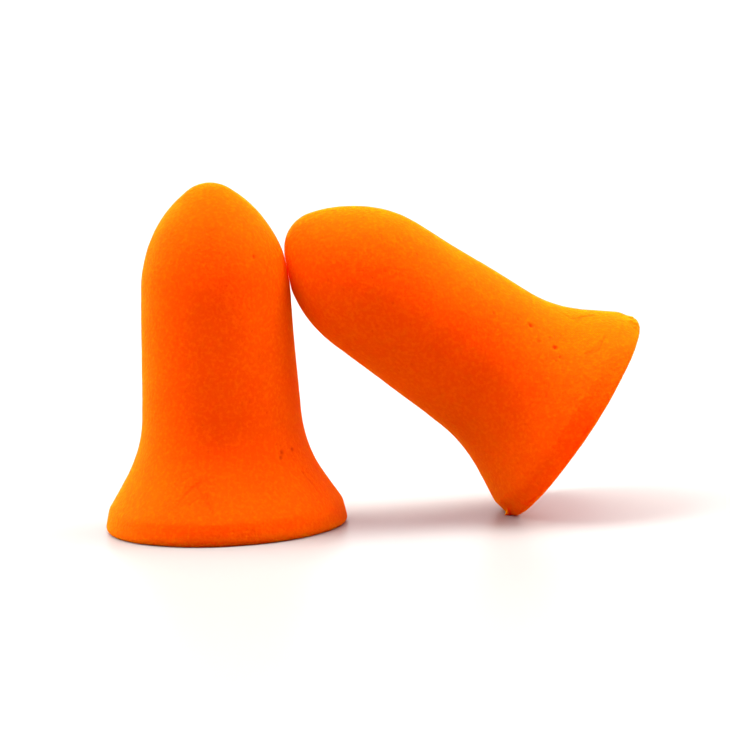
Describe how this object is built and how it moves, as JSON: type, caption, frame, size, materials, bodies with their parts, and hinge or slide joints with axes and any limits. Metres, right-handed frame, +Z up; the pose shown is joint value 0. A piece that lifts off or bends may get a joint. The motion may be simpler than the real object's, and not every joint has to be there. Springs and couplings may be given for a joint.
{
  "type": "foam ear plugs",
  "caption": "Bell-shaped foam ear plugs, a loose pair: one stands on its flared end and the other leans its rounded nose against it.",
  "frame": {"origin": "centre of the standing plug's resting face, on the table", "axes": "+Z up along the standing plug's axis, +X towards the leaning plug, +Y away from the viewer"},
  "size_m": [0.0391, 0.017, 0.025],
  "materials": {
    "foam": "matte self-skinned slow-recovery polyurethane foam, orange right through"
  },
  "bodies": {
    "standing_plug": {"standing_plug": "foam"},
    "leaning_plug": {"leaning_plug": "foam"}
  },
  "joints": [
    {"name": "leaning_plug_lift", "type": "slide", "parent": "standing_plug", "child": "leaning_plug", "axis": [0, 0, 1], "range_m": [0, 0.03]}
  ]
}
